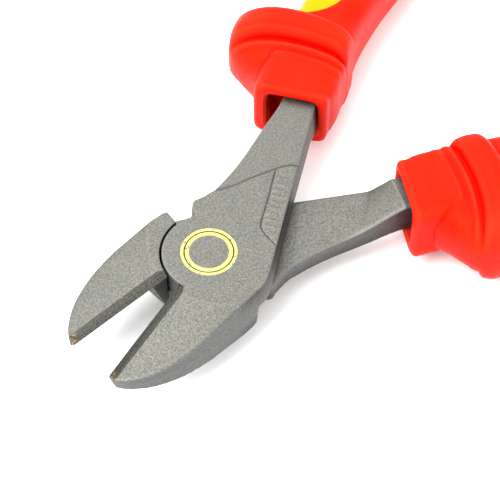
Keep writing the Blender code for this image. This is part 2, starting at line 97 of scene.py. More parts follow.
# the underside falls from the valley line to the collar line
VALLEY, COLLAR_LINE = [(-36.9, -8.2), (-19.5, -15.0)], [(-41.2, -11.5), (-38.3, -18.3)]
UNDER_FALL, VALLEY_SOFT = 3.6, 0.22
DRAFT = 0.45                    # side walls lean out this much at the parting plane
PANEL_LINE = [(-24.4, -5.4), (-23.6, -5.2), (-18.0, -1.4), (-13.9, 1.2), (-12.2, 2.4),
              (-11.5, 3.6), (-11.1, 5.6), (-10.9, 8.3)]
RIB_START, RIB_END, RIB_COUNT = (-23.4, -2.9), (-13.2, 4.0), 9
RIB_HALF = (0.28, 1.15)         # half width and half length of a raised rib
RIB_RISE = 0.08

# handles: centre line starts at the collar's front
COLLAR_C = (-40.5, -17.0)
HEADING = [(-12, 31.0), (12, 31.0), (24, 24.0), (40, 15.0), (70, 11.5), (125, 6.0)]
GRIP_START, GRIP_LEN = -1.0, 112.0
TANG_START, TANG_LEN = 1.5, 92.0
SLEEVE_START, SLEEVE_LEN = 6.0, 106.0
FIT = 0.3
PATH_START, PATH_STEP = -12.0, 0.5
RIM_R = 1.2                     # rounding of the collar's front rim

# body of the grip: s, outer, inner, top, under, squareness inside and outside
GRIP = [(-1.0, 8.8, 7.6, 8.0, 7.5, 7.0, 8.0), (1.0, 8.8, 7.7, 8.0, 7.5, 6.0, 7.5),
        (3.0, 8.7, 8.4, 8.1, 7.6, 5.4, 6.5), (5.0, 8.7, 8.7, 8.1, 7.6, 5.2, 6.0),
        (8.0, 8.7, 8.8, 8.1, 7.7, 5.2, 5.4), (9.4, 8.7, 8.8, 8.4, 8.1, 5.2, 5.2),
        (10.6, 8.7, 8.9, 8.1, 7.8, 5.2, 5.2), (11.7, 8.6, 9.0, 8.7, 8.4, 5.2, 5.2),
        (12.8, 8.5, 9.0, 8.1, 7.8, 5.2, 5.0), (14.5, 8.0, 9.0, 8.5, 8.3, 5.0, 4.6),
        (20.5, 7.0, 8.9, 8.5, 8.4, 4.6, 3.8), (24.0, 6.3, 8.8, 8.4, 8.4, 4.2, 3.4),
        (27.0, 6.3, 8.8, 8.4, 8.4, 4.0, 3.3), (31.0, 6.9, 8.9, 8.6, 8.6, 3.8, 3.2),
        (40.0, 8.0, 9.0, 8.9, 8.9, 3.4, 3.0), (60.0, 9.4, 9.4, 9.5, 9.5, 2.9, 2.9),
        (80.0, 9.2, 9.2, 9.2, 9.2, 2.9, 2.9), (100.0, 8.4, 8.4, 8.3, 8.3, 2.8, 2.8),
        (108.0, 7.6, 7.6, 7.4, 7.4, 2.7, 2.7), (110.6, 6.2, 6.2, 6.0, 6.0, 2.5, 2.5),
        (111.6, 4.4, 4.4, 4.2, 4.2, 2.3, 2.3), (112.0, 2.4, 2.4, 2.2, 2.2, 2.2, 2.2)]
# guard round that body, in the same columns
GUARD = [(1.0, 6.0, 6.0, 6.0, 6.0, 3.0, 3.0), (3.0, 8.4, 6.6, 7.0, 6.8, 3.4, 3.0),
         (5.0, 10.4, 7.2, 7.4, 7.4, 4.0, 2.9), (7.0, 12.2, 8.0, 7.6, 7.7, 4.6, 2.8),
         (8.5, 13.8, 8.6, 7.8, 7.9, 5.0, 2.8), (10.4, 15.6, 8.9, 7.9, 7.9, 5.0, 2.9),
         (11.7, 16.6, 9.0, 8.6, 8.5, 5.0, 3.0), (12.7, 17.2, 9.0, 8.3, 8.1, 5.0, 3.2),
         (13.5, 17.5, 9.1, 10.2, 9.9, 5.0, 3.4), (14.2, 17.7, 9.2, 11.0, 10.6, 5.0, 3.6),
         (16.4, 18.0, 9.2, 11.6, 11.2, 5.0, 3.8), (18.4, 17.9, 9.2, 11.4, 11.0, 5.0, 3.8),
         (19.4, 17.0, 9.1, 10.8, 10.4, 4.8, 3.6), (20.2, 13.8, 8.6, 9.2, 9.0, 4.4, 3.2),
         (21.0, 9.4, 7.6, 7.8, 7.8, 4.0, 3.0), (22.0, 6.0, 6.0, 6.0, 6.0, 3.0, 3.0)]
BOW, BOW_MID = 0.0125, 4.0      # the guard's sections bow toward the jaws at both sides
BOW_FADE = [(3.0, 0.0), (8.0, 1.0), (24.0, 1.0), (40.0, 0.0)]
TANG = [(0.5, 3.3, -1.5, 4.8, -2.8), (6.0, 3.3, -1.4, 4.2, -3.2),
        (14.0, 3.2, -1.0, 3.4, -3.2), (30.0, 3.2, -0.8, 3.0, -3.0), (70.0, 3.2, 0.0, 2.8, -2.8),
        (90.0, 2.6, 0.0, 2.5, -2.5), (92.0, 1.6, 0.0, 1.5, -1.5)]
# collar's mouth: s, half width, shift across, top, under
MOUTH = [(-3.0, 6.2, 0.2, 6.4, -6.3), (-1.0, 6.2, 0.2, 6.4, -6.3), (-0.5, 5.7, 0.2, 5.9, -5.9),
         (5.3, 5.3, 0.1, 5.7, -5.7)]
MOUTH_STATIONS = (-3.0, -1.0, -0.75, -0.5, 2.4, 5.3)
WINDOW, WINDOW_IN = (19.6, 96.0), -3.8
WALL = 2.4

OUTLINE_STEPS = 6               # points on each curved stretch of an outline
BOX_POWER = 7.0                 # squareness of the tang and of the collar's mouth
THROAT, THROAT_GAP = (3.0, 6.5, 8.0), 0.35      # passage for the tang behind the mouth
FINE_END, FINE_STEP, LONG_STEP = 24.0, 0.3, 0.8     # rings of the grip: close up to its waist
GRIP_COUNT, PAD_COUNT, CORE_COUNT, TANG_COUNT = 144, 96, 48, 24     # points round a section
CORE_STEP, TANG_STEP = 3.0, 4.0
RIM_STEPS = 6                   # rings of the rounded front rim
PAD_START, PAD_INSET = 18.0, 0.05
WINDOW_POWER = 8.0              # how square the window's ends are
WINDOW_OUT, WINDOW_CLEAR, WINDOW_HALF = 12.0, 26.0, 16.0    # where its ends and its cutter reach
CONE_REACH, CONE_CLEAR = 42.0, 9.0      # size of the cutter of the jaw's sloping faces
BEVEL_SPAN, BEVEL_REACH = (7.0, 40.0), (-1.0, 3.0)      # bevel's cutter, along and across the edge
EDGE_START = 12.0               # the straight cutting edge is measured from here
RELIEF_REACH, RELIEF_DEPTH = 3.0, 9.0
CLEAR_Z = 9.5                   # height that clears the jaw
CHAMFER = 0.14                  # on the rivet's ends
LINE_HALF, FOOT_HALF, CREST_HALF = 0.22, 0.30, 0.22     # half widths of groove, step foot and crease
GROOVE_DEPTH = 0.18
RIB_SOFT = 0.2                  # width of a rib's flanks
FACE_DEEP = 0.15                # lines and ribs are only on faces above this depth
FOOT_START, CREST_START = -7.5, 5.0     # the step's foot is behind, the crease ahead, along X
WALL_START, WALL_SOFT = 10.8, 1.5       # the drafted walls begin at this radius
EDGE_ROOT_LINE = (1.44, 0.157, 9.0)     # the jaw's inner side: height, slope and start, in plan
JAW_START, JAW_STRIP = 3.0, 1.6
SHANK_START, RAMP_MOST = -12.0, 1.6
TINY = 1e-3
STEP_OUT = [(-60.0, 10.0), (-60.0, -40.0), (-8.6, -40.0)]   # step's cutter, outside the shank
UNDER_BOX = [(-60, -40), (20, -40), (20, 30), (-60, 30)]
DISC_CLEAR = 17.8               # height that clears the lap disc

VOXEL = 0.22
SEEN_GAP = 0.04                 # gap between the window's pad and its border


# ---------------------------------------------------------------- mesh helpers
def add_object(name, mesh):
    """Link a mesh, curve, camera or light into the scene."""
    ob = bpy.data.objects.new(name, mesh)
    bpy.context.scene.collection.objects.link(ob)
    return ob


def mesh_from(bm, name):
    """Turn a finished bmesh into a mesh with outward normals."""
    bmesh.ops.recalc_face_normals(bm, faces=bm.faces)
    mesh = bpy.data.meshes.new(name)
    bm.to_mesh(mesh)
    bm.free()
    return mesh


def prism(points, low, high):
    """A closed plan outline, smooth except at its corners, extruded from low to high."""
    curve = bpy.data.curves.new("outline", "CURVE")
    curve.dimensions = "2D"
    curve.fill_mode = "BOTH"
    curve.extrude = (high - low) * 0.5
    curve.resolution_u = OUTLINE_STEPS
    spline = curve.splines.new("BEZIER")
    spline.bezier_points.add(len(points) - 1)
    spline.use_cyclic_u = True
    for knot, point in zip(spline.bezier_points, points):
        knot.co = (point[0], point[1], 0.0)
        kind = "VECTOR" if len(point) > 2 else "AUTO"
        knot.handle_left_type = kind
        knot.handle_right_type = kind
    ob = add_object("outline", curve)
    mesh = bpy.data.meshes.new_from_object(ob)
    bpy.data.objects.remove(ob, do_unlink=True)
    bm = bmesh.new()
    bm.from_mesh(mesh)
    bmesh.ops.remove_doubles(bm, verts=bm.verts, dist=1e-3)
    bmesh.ops.translate(bm, verts=bm.verts, vec=(0.0, 0.0, (high + low) * 0.5))
    return add_object("prism", mesh_from(bm, "prism"))


def cylinder(radius, low, high):
    """Closed cylinder about the rivet's axis."""
    middle = Matrix.Translation((0.0, 0.0, (high + low) * 0.5))
    bm = bmesh.new()
    bmesh.ops.create_cone(bm, cap_ends=True, segments=ROUND, radius1=radius, radius2=radius,
                          depth=high - low, matrix=middle)
    return add_object("cylinder", mesh_from(bm, "cylinder"))


def hull(points):
    """The convex solid over a few corner points."""
    bm = bmesh.new()
    bmesh.ops.convex_hull(bm, input=[bm.verts.new(Vector(p)) for p in points])
    return add_object("hull", mesh_from(bm, "hull"))


def turned(profile, centre):
    """Solid of revolution about a vertical axis, from a closed profile of (radius, height)."""
    bm = bmesh.new()
    verts = [bm.verts.new((x, 0.0, z)) for x, z in profile]
    edges = [bm.edges.new((a, b)) for a, b in zip(verts, verts[1:] + verts[:1])]
    bmesh.ops.spin(bm, geom=verts + edges, cent=(0, 0, 0), axis=(0, 0, 1), angle=math.tau,
                   steps=ROUND, use_merge=True)
    bmesh.ops.remove_doubles(bm, verts=bm.verts, dist=1e-5)
    bmesh.ops.translate(bm, verts=bm.verts, vec=(centre[0], centre[1], 0.0))
    return add_object("turned", mesh_from(bm, "turned"))


def loft(rings):
    """Skin over rings of equal count, closed by a flat face at each end."""
    bm = bmesh.new()
    rows = [[bm.verts.new(p) for p in ring] for ring in rings]
    count = len(rows[0])
    for a, b in zip(rows[:-1], rows[1:]):
        for k in range(count):
            j = (k + 1) % count
            bm.faces.new((a[k], a[j], b[j], b[k]))
    bm.faces.new(rows[0])
    bm.faces.new(rows[-1])
    return add_object("loft", mesh_from(bm, "loft"))


def combine(body, operation, *tools):
    """Boolean each tool into the body, then drop the tools."""
    for tool in tools:
        mod = body.modifiers.new("boolean", "BOOLEAN")
        mod.operation = operation
        mod.solver = "EXACT"
        mod.material_mode = "TRANSFER"
        mod.object = tool
    settle(body)
    for tool in tools:
        bpy.data.objects.remove(tool, do_unlink=True)
    return body


def settle(ob):
    """Replace an object's mesh by what its modifiers make of it."""
    graph = bpy.context.evaluated_depsgraph_get()
    graph.update()
    mesh = bpy.data.meshes.new_from_object(ob.evaluated_get(graph))
    ob.modifiers.clear()
    ob.data = mesh


# ---------------------------------------------------------------- handle path and sections
def at(table, s, column):
    """Value of a table's column at distance s, on a smooth curve that never overshoots."""
    last = len(table) - 1
    s = min(max(s, table[0][0]), table[last][0])
    i = next(k for k in range(last) if s <= table[k + 1][0])

    def slope(k):
        return (table[k + 1][column] - table[k][column]) / (table[k + 1][0] - table[k][0])

    def tangent(k):
        if k in (0, last):
            return 0.0
        before, after = slope(k - 1), slope(k)
        return 0.0 if before * after <= 0.0 else 2.0 * before * after / (before + after)

    width = table[i + 1][0] - table[i][0]
    t = (s - table[i][0]) / width
    rise = t * t * (3.0 - 2.0 * t)
    return (table[i][column] * (1.0 - rise) + table[i + 1][column] * rise
            + width * t * (1.0 - t) * ((1.0 - t) * tangent(i) - t * tangent(i + 1)))


def heading(s):
    """Direction of the handle's centre line, in radians."""
    for a, b in zip(HEADING[:-1], HEADING[1:]):
        if s <= b[0]:
            return math.radians(a[1] + (b[1] - a[1]) * (s - a[0]) / (b[0] - a[0]))
    return math.radians(HEADING[-1][1])


def make_path():
    """Points and headings of the handle's centre line, every half millimetre."""
    x, y = COLLAR_C
    x -= PATH_START * math.cos(heading(0))
    y -= PATH_START * math.sin(heading(0))
    path, s = [], PATH_START
    while s < GRIP_LEN + 6.0:
        path.append((x, y, heading(s)))
        mid = heading(s + PATH_STEP * 0.5)
        x -= math.cos(mid) * PATH_STEP
        y -= math.sin(mid) * PATH_STEP
        s += PATH_STEP
    return path


PATH = make_path()


def place(s, across, z):
    """A point at distance s, across the handle (outward positive) and height z."""
    k = (s - PATH_START) / PATH_STEP
    i = max(0, min(len(PATH) - 2, int(math.floor(k))))
    t = k - i
    x, y, h = (PATH[i][j] + (PATH[i + 1][j] - PATH[i][j]) * t for j in range(3))
    return (x + math.sin(h) * across, y - math.cos(h) * across, z)


def rounded(angle, power):
    """Point of a unit superellipse."""
    c, q = math.cos(angle), math.sin(angle)
    return (math.copysign(abs(c) ** (2.0 / power), c), math.copysign(abs(q) ** (2.0 / power), q))


def reach(table, s, angle, inset):
    """Distance from the centre line to a superellipse of the table, in the direction of the angle."""
    outer, inner, top, under = (at(table, s, k) - inset for k in range(1, 5))
    c, q = math.cos(angle), math.sin(angle)
    power = at(table, s, 6 if c > 0 else 5)
    across = abs(c) / (outer if c > 0 else inner)
    height = abs(q) / (top if q > 0 else under)
    return (across ** power + height ** power) ** (-1.0 / power)


def grip_section(s, count, inset=0.0):
    """Ring round the handle: its body, with the guard round it where the guard is larger."""
    in_guard = GUARD[0][0] < s < GUARD[-1][0]
    ring = []
    for k in range(count):
        angle = math.tau * (k + 0.5) / count
        radius = reach(GRIP, s, angle, inset)
        if in_guard:
            radius = max(radius, reach(GUARD, s, angle, inset))
        across = radius * math.cos(angle)
        lean = BOW * (across - BOW_MID) ** 2 * at(BOW_FADE, s, 1)
        ring.append(place(s - lean, across, radius * math.sin(angle)))
    return ring


def box_section(table, s, count, grow=0.0):
    """Ring of a table with rounded rectangular sections: the tang or the collar's mouth."""
    half, shift, top, under = (at(table, s, k) for k in range(1, 5))
    mid, high = (top + under) * 0.5, (top - under) * 0.5
    corners = (rounded(math.tau * (k + 0.5) / count, BOX_POWER) for k in range(count))
    return [place(s, shift + c * (half + grow), mid + q * (high + grow)) for c, q in corners]


def stations(table, low, high, step):
    """Distances at the table's own rows and between them."""
    marks = sorted({low, high} | {row[0] for row in table if low < row[0] < high})
    out = []
    for a, b in zip(marks[:-1], marks[1:]):
        parts = max(1, round((b - a) / step))
        out += [a + (b - a) * i / parts for i in range(parts)]
    return out + [marks[-1]]


# ---------------------------------------------------------------- forgings
def edge_y(x):
    """The cutting edge in plan."""
    (x0, y0), (x1, y1) = EDGE_ROOT, EDGE_TIP
    return y0 + (y1 - y0) * (x - x0) / (x1 - x0)


def face_z(x, y):
    """Height of the jaw's sloping face."""
    r = math.hypot(x - CREASE_C[0], y - CREASE_C[1])
    return JOINT_H - FACE_SLOPE * max(0.0, r - CREASE_R)


def edge_height(x):
    """The cutting edge is a straight line that falls with the face toward the tip."""
    x0, x1 = EDGE_START, EDGE_TIP[0]
    z0 = face_z(x0, edge_y(x0) + BEVEL_W) - BEVEL_D
    z1 = face_z(x1, edge_y(x1) + BEVEL_W) - BEVEL_D
    return z0 + (z1 - z0) * (x - x0) / (x1 - x0)


def slope_cutter(side, slope):
    """Solid of revolution above (side 1) or below (side -1) the jaw's sloping face."""
    far, high = CREASE_R + CONE_REACH, JOINT_H + CONE_CLEAR
    profile = [(CREASE_R, JOINT_H), (far, JOINT_H - slope * CONE_REACH), (far, high), (CREASE_R, high)]
    return turned([(r, z * side) for r, z in profile], CREASE_C)


def bevel_cutter(front):
    """Block over the ground bevel, whose lower edge is the cutting edge."""
    points = []
    slope = (EDGE_TIP[1] - EDGE_ROOT[1]) / (EDGE_TIP[0] - EDGE_ROOT[0])
    for x in BEVEL_SPAN:
        y, z = edge_y(x), edge_height(x)
        for d in BEVEL_REACH:
            points.append((x - slope * d, y + d, (z + BEVEL_D / BEVEL_W * d) * front))
            points.append((x, y + d, CLEAR_Z * front))
    return hull(points)


def relief_cutter(front):
    """Block behind the cutting edge; it ends at the web next to the joint."""
    points = []
    for x_top, x_low in ((WEB_TOP, WEB_FOOT), (BEVEL_SPAN[1], BEVEL_SPAN[1])):
        z = edge_height(x_top)
        deep = z + RELIEF_DEPTH
        points.append((x_top, edge_y(x_top), z * front))
        points.append((x_top, edge_y(x_top) - RELIEF_REACH, z * front))
        points.append((x_low, edge_y(x_low) - RELIEF_REACH, (z - deep) * front))
        points.append((x_low, edge_y(x_low) + deep * math.tan(RELIEF_ANGLE), (z - deep) * front))
    return hull(points)


def line_distance(co, line):
    """Distance in plan of each point from a polyline."""
    best = np.full(len(co), 1e9)
    for a, b in zip(line[:-1], line[1:]):
        a, b = np.array(a[:2]), np.array(b[:2])
        run = b - a
        t = np.clip(((co[:, :2] - a) @ run) / (run @ run), 0.0, 1.0)
        best = np.minimum(best, np.linalg.norm(co[:, :2] - a - t[:, None] * run, axis=1))
    return best


def curved_line(points, steps=6):
    """Catmull-Rom curve through a few points."""
    knots = [points[0]] + list(points) + [points[-1]]
    out = []
    for p0, p1, p2, p3 in zip(knots, knots[1:], knots[2:], knots[3:]):
        p0, p1, p2, p3 = (Vector(p[:2]) for p in (p0, p1, p2, p3))
        for k in range(steps):
            t = k / steps
            out.append(tuple(0.5 * (2 * p1 + (p2 - p0) * t + (2 * p0 - 5 * p1 + 4 * p2 - p3) * t * t
                                    + (3 * p1 - p0 - 3 * p2 + p3) * t ** 3)))
    return out + [tuple(points[-1][:2])]


def vertex_values(mesh, name):
    """Positions or normals of a mesh's vertices, one row each."""
    values = np.empty(len(mesh.vertices) * 3)
    mesh.vertices.foreach_get(name, values)
    return values.reshape(-1, 3)


def curvature(mesh):
    """Signed bend of the surface at each vertex: edges above zero, hollows below."""
    count = len(mesh.vertices)
    co, normal = vertex_values(mesh, "co"), vertex_values(mesh, "normal")
    pairs = np.empty(len(mesh.edges) * 2, dtype=np.int64)
    mesh.edges.foreach_get("vertices", pairs)
    pairs = pairs.reshape(-1, 2)
    total, number = np.zeros((count, 3)), np.zeros(count)
    for a, b in ((0, 1), (1, 0)):
        np.add.at(total, pairs[:, a], co[pairs[:, b]])
        np.add.at(number, pairs[:, a], 1.0)
    bend = ((co - total / number[:, None]) * normal).sum(axis=1)
    for _ in range(2):
        spread = np.zeros(count)
        for a, b in ((0, 1), (1, 0)):
            np.add.at(spread, pairs[:, a], bend[pairs[:, b]])
        bend = 0.5 * bend + 0.5 * spread / number
    return bend


def store(mesh, name, values):
    """Keep one number per vertex for the material to use."""
    layer = mesh.attributes.new(name, "FLOAT", "POINT")
    layer.data.foreach_set("value", np.asarray(values, dtype=np.float32))


def side_of(co, line):
    """Signed distance in plan from a straight line, above zero toward the collar."""
    a, b = np.array(line[0]), np.array(line[1])
    run = (b - a) / np.linalg.norm(b - a)
    return (co[:, :2] - a) @ np.array([run[1], -run[0]])


def lean_walls(co, normal):
    """Draft: the side walls stand out most at the joint's mid height."""
    radius = np.hypot(co[:, 0], co[:, 1])
    wall = np.clip((radius - WALL_START) / WALL_SOFT, 0.0, 1.0) * (1.0 - normal[:, 2] ** 2)
    line = EDGE_ROOT_LINE[0] + EDGE_ROOT_LINE[1] * (co[:, 0] - EDGE_ROOT_LINE[2])
    inside_jaw = (co[:, 0] > JAW_START) & (co[:, 1] < line + JAW_STRIP)
    lean = DRAFT * (1.0 - np.clip(np.abs(co[:, 2]) / JOINT_H, 0.0, 1.0)) * wall * ~inside_jaw
    co[:, :2] += normal[:, :2] * lean[:, None]


def ramp_underside(co):
    """Bend the shank down behind the valley line, least at its top face."""
    behind_joint = co[:, 0] < SHANK_START
    ahead, behind = side_of(co, VALLEY), -side_of(co, COLLAR_LINE)
    t = np.clip(ahead / np.maximum(ahead + behind, TINY), 0.0, RAMP_MOST) * behind_joint
    t = np.where(behind < 0.0, 1.0, t)
    soft = np.where(t < VALLEY_SOFT, t * t / (2.0 * VALLEY_SOFT), t - VALLEY_SOFT * 0.5)
    fall = UNDER_FALL * soft * behind_joint
    top = JOINT_H - PAD_STEP
    co[:, 2] -= fall * np.clip((top - co[:, 2]) / (top - LAP_GAP), 0.0, 1.0)


def raise_ribs(co, face):
    """The row of short ribs on the shank's upper face."""
    a, b = np.array(RIB_START), np.array(RIB_END)
    run = (b - a) / np.linalg.norm(b - a)
    side = np.array([-run[1], run[0]])
    for k in range(RIB_COUNT):
        spot = a + (b - a) * k / (RIB_COUNT - 1)
        u, v = np.abs((co[:, :2] - spot) @ run), np.abs((co[:, :2] - spot) @ side)
        within = (np.clip((RIB_HALF[0] - u) / RIB_SOFT + 0.5, 0, 1)
                  * np.clip((RIB_HALF[1] - v) / RIB_SOFT + 0.5, 0, 1))
        co[:, 2] += RIB_RISE * within * face


def sculpt(mesh):
    """Lean the side walls, ramp the underside, press in the fine lines and raise the ribs."""
    co, normal = vertex_values(mesh, "co"), vertex_values(mesh, "normal")
    lean_walls(co, normal)
    ramp_underside(co)
    face = co[:, 2] > JOINT_H - PAD_STEP - FACE_DEEP
    panel = line_distance(co, curved_line(PANEL_LINE))
    step = line_distance(co, curved_line(PAD_LINE))
    groove = np.clip(1.0 - panel / LINE_HALF, 0.0, 1.0) * face
    foot = np.clip(1.0 - step / FOOT_HALF, 0.0, 1.0) * face * (co[:, 0] < FOOT_START)
    co[:, 2] -= GROOVE_DEPTH * groove
    raise_ribs(co, face)
    mesh.vertices.foreach_set("co", co.ravel())
    mesh.update()
    # mask for grime and painted shade in the panel groove and at the step's foot
    store(mesh, "grime_and_shade", np.clip(0.8 * groove + 0.6 * foot, 0.0, 1.0))
    # mask for a painted highlight along the crease of the jaw's face
    crease = np.abs(np.hypot(co[:, 0] - CREASE_C[0], co[:, 1] - CREASE_C[1]) - CREASE_R)
    store(mesh, "crest_highlight", np.clip(1.0 - crease / CREST_HALF, 0.0, 1.0) * (co[:, 0] > CREST_START))


def sharp(points):
    """The same outline with a sharp corner at every point."""
    return [(x, y, CORNER) for x, y in points]


def jaw_body(front):
    """Jaw with a sloping face on each side and the round pocket for the other half's disc."""
    jaw = prism(JAW, -JOINT_H, JOINT_H)
    return combine(jaw, "DIFFERENCE", slope_cutter(front, FACE_SLOPE),
                   slope_cutter(-front, BACK_SLOPE), cylinder(RECESS_R, -JOINT_H - 1.0, LAP_GAP))


def shank_body():
    """Shank with the step behind the joint and nothing below the lap face."""
    shank = prism(SHANK, -JOINT_H, JOINT_H)
    step = prism(sharp(curved_line(PAD_LINE) + STEP_OUT), JOINT_H - PAD_STEP, JOINT_H + 2.0)
    combine(shank, "DIFFERENCE", step)
    return combine(shank, "DIFFERENCE", prism(sharp(UNDER_BOX), -JOINT_H - 2.0, LAP_GAP))


def forging(name, front):
    """One half: jaw, lap disc, shank and tang, with softly rounded edges and a crisp bevel."""
    jaw, shank = jaw_body(front), shank_body()
    body = cylinder(DISC_R, LAP_GAP, JOINT_H)
    combine(body, "UNION", shank, jaw)
    body.name = name
    skin = body.modifiers.new("skin", "REMESH")
    skin.mode = "VOXEL"
    skin.voxel_size = VOXEL
    soft = body.modifiers.new("soft", "SMOOTH")
    soft.factor = 0.5
    soft.iterations = 4
    settle(body)
    sculpt(body.data)
    store(body.data, "bend", curvature(body.data))
    tang = loft([box_section(TANG, s, TANG_COUNT)
                 for s in stations(TANG, TANG_START, TANG_LEN, TANG_STEP)])
    hole = cylinder(RIVET_HOLE_R, -CONE_CLEAR, CONE_CLEAR)
    for part in (body, tang, hole):
        part.data.materials.clear()
        part.data.materials.append(STEEL)
    bevel, relief = bevel_cutter(front), relief_cutter(front)
    for cutter, mat in ((bevel, GROUND), (relief, STEEL)):
        cutter.data.materials.append(mat)
        combine(cutter, "DIFFERENCE", cylinder(DISC_R + 0.05, LAP_GAP - 0.1, DISC_CLEAR))
    combine(body, "UNION", tang)
    combine(body, "DIFFERENCE", bevel, relief, hole)
    return body


# ---------------------------------------------------------------- rivet and grips
def rivet():
    """Pin with a small chamfer at both ends."""
    top, neck = JOINT_H, RIVET_R - CHAMFER
    profile = [(1e-4, top), (neck, top), (RIVET_R, top - CHAMFER), (RIVET_R, CHAMFER - top),
               (neck, -top), (1e-4, -top)]
    body = turned(profile, (0.0, 0.0))
    body.name = "rivet"
    return body


def window(gap):
    """Prism over the window: it covers the handle's outer side from top to underside."""
    low, high = WINDOW
    steps = 72
    border = []
    for k in range(steps + 1):
        t = 0.5 - 0.5 * math.cos(math.pi * k / steps)
        rise = (1.0 - abs(2.0 * t - 1.0) ** WINDOW_POWER) ** 0.5
        border.append((low + (high - low) * t, WINDOW_OUT + (WINDOW_IN - WINDOW_OUT) * rise))
    inner = []
    for k, (s, across) in enumerate(border):
        a, b = border[max(0, k - 1)], border[min(steps, k + 1)]
        run = Vector((b[0] - a[0], b[1] - a[1])).normalized()
        inner.append(place(s - run.y * gap, across + run.x * gap, 0.0)[:2])
    ends = (high - gap, (high + low) * 0.5, low + gap)
    outer = [place(s, WINDOW_CLEAR, 0.0)[:2] for s in ends]
    return prism(sharp(inner + outer), -WINDOW_HALF, WINDOW_HALF)


def grip(name):
    """Outer moulding: collar, guard and handle round the sleeve."""
    rings = []
    for k in range(RIM_STEPS + 1):
        a = math.pi * 0.5 * k / RIM_STEPS
        rings.append(grip_section(GRIP_START + RIM_R * (1.0 - math.cos(a)), GRIP_COUNT,
                                  RIM_R * (1.0 - math.sin(a))))
    marks = stations(GRIP, GRIP_START + RIM_R + FINE_STEP, FINE_END, FINE_STEP)
    marks += stations(GRIP, FINE_END + 0.5, GRIP_LEN, LONG_STEP)
    body = loft(rings + [grip_section(s, GRIP_COUNT) for s in marks])
    marks = stations(GRIP, SLEEVE_START, SLEEVE_LEN, CORE_STEP)
    marks = [SLEEVE_START - FIT] + marks + [SLEEVE_LEN + FIT]
    core = loft([grip_section(s, CORE_COUNT, WALL - SEEN_GAP) for s in marks])
    mouth = loft([box_section(MOUTH, s, CORE_COUNT) for s in MOUTH_STATIONS])
    throat = loft([box_section(TANG, s, TANG_COUNT, THROAT_GAP) for s in THROAT])
    combine(body, "DIFFERENCE", core, mouth, throat, window(0.0))
    body.name = name
    store(body.data, "bend", curvature(body.data))
    return body


def sleeve(name):
    """Inner moulding: a tube over the tang whose raised pad fills the window."""
    marks = stations(GRIP, SLEEVE_START, SLEEVE_LEN, CORE_STEP)
    body = loft([grip_section(s, CORE_COUNT, WALL) for s in marks])
    marks = stations(GRIP, PAD_START, GRIP_LEN - 4.0, LONG_STEP)
    pad = loft([grip_section(s, PAD_COUNT, PAD_INSET) for s in marks])
    combine(pad, "INTERSECT", window(SEEN_GAP))
    combine(body, "UNION", pad)
    marks = stations(TANG, TANG_START, TANG_LEN, TANG_STEP) + [TANG_LEN + FIT]
    combine(body, "DIFFERENCE", loft([box_section(TANG, s, TANG_COUNT, FIT) for s in marks]))
    body.name = name
    return body


# ---------------------------------------------------------------- materials
class Graph:
    """A node tree with short calls for the nodes the materials share."""

    def __init__(self, name):
        self.mat = bpy.data.materials.new(name)
        self.mat.use_nodes = True
        self.tree = self.mat.node_tree
        self.shader = self.tree.nodes["Principled BSDF"]
        self.coords = self.node("ShaderNodeTexCoord")

    def node(self, kind, **values):
        node = self.tree.nodes.new(kind)
        for key, value in values.items():
            setattr(node, key, value)
        return node

    def wire(self, source, target):
        if isinstance(source, (int, float)):
            target.default_value = source
        elif isinstance(source, tuple):
            target.default_value = (*source, 1.0)
        else:
            self.tree.links.new(source, target)

    def noise(self, scale, detail=2.0, rough=0.5):
        node = self.node("ShaderNodeTexNoise")
        self.wire(self.coords.outputs["Object"], node.inputs["Vector"])
        node.inputs["Scale"].default_value = scale
        node.inputs["Detail"].default_value = detail
        node.inputs["Roughness"].default_value = rough
        return node.outputs["Fac"]

    def math(self, operation, a, b=0.0):
        node = self.node("ShaderNodeMath", operation=operation)
        self.wire(a, node.inputs[0])
        self.wire(b, node.inputs[1])
        return node.outputs[0]

    def span(self, value, low, high, out_low=0.0, out_high=1.0):
        node = self.node("ShaderNodeMapRange")
        self.wire(value, node.inputs["Value"])
        ends = {"From Min": low, "From Max": high, "To Min": out_low, "To Max": out_high}
        for key, number in ends.items():
            node.inputs[key].default_value = number
        return node.outputs["Result"]

    def mix(self, factor, a, b):
        node = self.node("ShaderNodeMix", data_type="RGBA")
        self.wire(factor, node.inputs[0])
        self.wire(a, node.inputs[6])
        self.wire(b, node.inputs[7])
        return node.outputs[2]

    def attribute(self, name):
        return self.node("ShaderNodeAttribute", attribute_name=name).outputs["Fac"]

    def bump(self, height, distance, strength=1.0):
        node = self.node("ShaderNodeBump")
        self.wire(height, node.inputs["Height"])
        node.inputs["Distance"].default_value = distance
        node.inputs["Strength"].default_value = strength
        self.wire(node.outputs["Normal"], self.shader.inputs["Normal"])

    def finish(self, **inputs):
        for key, value in inputs.items():
            self.wire(value, self.shader.inputs[key.replace("_", " ")])
        return self.mat


def axis_parts(graph):
    """Radius from the rivet's axis, height, upward facing and distance toward the jaws' tips."""
    spot = graph.node("ShaderNodeSeparateXYZ")
    graph.wire(graph.coords.outputs["Object"], spot.inputs[0])
    squares = [graph.math("MULTIPLY", spot.outputs[k], spot.outputs[k]) for k in range(2)]
    radius = graph.math("SQRT", graph.math("ADD", squares[0], squares[1]))
    facing = graph.node("ShaderNodeSeparateXYZ")
    graph.wire(graph.coords.outputs["Normal"], facing.inputs[0])
    return radius, spot.outputs[2], facing.outputs[2], spot.outputs[0]


